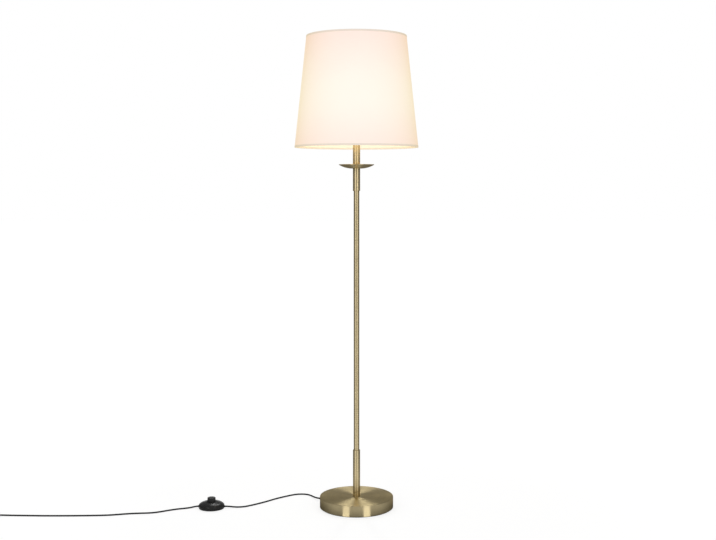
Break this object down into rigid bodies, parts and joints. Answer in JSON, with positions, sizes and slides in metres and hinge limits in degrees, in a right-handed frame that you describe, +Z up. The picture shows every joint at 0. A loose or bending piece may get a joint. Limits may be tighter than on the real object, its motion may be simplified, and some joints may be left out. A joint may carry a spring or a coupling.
{
  "type": "candlestick floor lamp",
  "caption": "Floor lamp with a weighted round base, a slim three-tube brass stem with a drip dish, a tapered drum shade, a screw bulb and a round foot switch on its cord.",
  "frame": {"origin": "centre of the base's underside, on the floor", "axes": "+Z up along the stem, -Y towards the camera side, +X to the camera's right; the cord lies towards -X"},
  "size_m": [1.4075, 0.426, 1.5],
  "materials": {
    "antique_brass": "brushed and lacquered, light antique brass",
    "cast_iron": "raw casting",
    "pad_foam": "matt",
    "zinc_steel": "zinc plated",
    "black_plastic": "fine matt",
    "switch_black": "soft gloss",
    "button_black": "soft gloss",
    "rotor_white": "matt",
    "foot_rubber": "matt",
    "cord_black": "smooth PVC sheath",
    "ceramic_white": "glazed porcelain",
    "contact_brass": "bright",
    "bulb_nickel": "nickel plated",
    "bulb_glass": "frosted inside",
    "white_wire": "white powder coat",
    "shade_fabric": "cream cloth laminated to a stiff film",
    "shade_tape": "cream edge tape",
    "filament_glow": "lit filament"
  },
  "bodies": {
    "stand": {"base_pad": "pad_foam", "base_weight": "cast_iron", "base_cover": "antique_brass", "base_washer": "zinc_steel", "base_lock_washer": "zinc_steel", "base_nut": "zinc_steel", "base_nipple": "zinc_steel", "cord_gland": "black_plastic", "base_cord_clamp": "zinc_steel", "base_clamp_screws": "zinc_steel", "lower_sleeve": "antique_brass", "wide_tube_bushes": "antique_brass", "lower_joint_nipple": "zinc_steel", "main_tube": "antique_brass", "main_tube_bushes": "antique_brass", "upper_joint_nipple": "zinc_steel", "upper_sleeve": "antique_brass", "drip_dish": "antique_brass", "dish_nipple": "zinc_steel", "candle_tube": "antique_brass", "holder_nipple": "zinc_steel", "lampholder_cap": "black_plastic", "lampholder_grub_screw": "zinc_steel", "lampholder_insert": "ceramic_white", "lampholder_terminal_screws": "contact_brass", "lampholder_body": "black_plastic", "lampholder_screw_shell": "contact_brass", "lampholder_centre_contact": "contact_brass", "inner_cord": "cord_black", "shade_ring": "black_plastic", "switch_base": "switch_black", "switch_cover": "switch_black", "switch_spring": "zinc_steel", "switch_contacts": "contact_brass", "switch_screws": "zinc_steel", "switch_feet": "foot_rubber", "switch_cord_clamps": "zinc_steel", "cord_to_switch": "cord_black", "cord_to_coil": "cord_black", "cord_coil": "cord_black", "cord_to_plug": "cord_black", "cord_strain_relief": "black_plastic", "cord_tie": "foot_rubber", "plug_body": "black_plastic", "plug_pins": "bulb_nickel"},
    "shade": {"shade_spider": "white_wire", "shade_bottom_ring": "white_wire", "shade_top_ring": "white_wire", "shade_cover": "shade_fabric", "shade_top_hem": "shade_tape", "shade_bottom_hem": "shade_tape"},
    "bulb_tip": {"bulb_tip_contact": "bulb_nickel"},
    "bulb": {"bulb_cap": "bulb_nickel", "bulb_insulator": "black_plastic", "bulb_glass": "bulb_glass", "bulb_stem": "bulb_glass", "bulb_filaments": "filament_glow"},
    "switch_button": {"switch_button": "button_black"},
    "switch_rotor": {"switch_rotor": "rotor_white"}
  },
  "joints": [
    {"name": "shade_turn", "type": "hinge", "parent": "stand", "child": "shade", "pos_m": [0, 0, 1.232], "axis": [0, 0, 1], "continuous": true},
    {"name": "bulb_rise", "type": "slide", "parent": "stand", "child": "bulb_tip", "axis": [0, 0, 1], "range_m": [0, 0.0127]},
    {"name": "bulb_turn", "type": "hinge", "parent": "bulb_tip", "child": "bulb", "pos_m": [0, 0, 1.24], "axis": [0, 0, 1], "range_deg": [0, 1260]},
    {"name": "switch_press", "type": "slide", "parent": "stand", "child": "switch_button", "axis": [0, 0, -1], "range_m": [0, 0.004], "stiffness_N_per_m": 1200, "springref_m": -0.004, "deforming": ["switch_spring"]},
    {"name": "switch_index", "type": "hinge", "parent": "stand", "child": "switch_rotor", "pos_m": [-0.466, -0.012, 0.0054], "axis": [0, 0, 1], "range_deg": [0, 45.2]}
  ],
  "couplings": [
    {"joint": "bulb_turn", "follows": "bulb_rise", "rad_per_m": 1731.4},
    {"joint": "switch_index", "follows": "switch_press", "rad_per_m": 196.35}
  ]
}
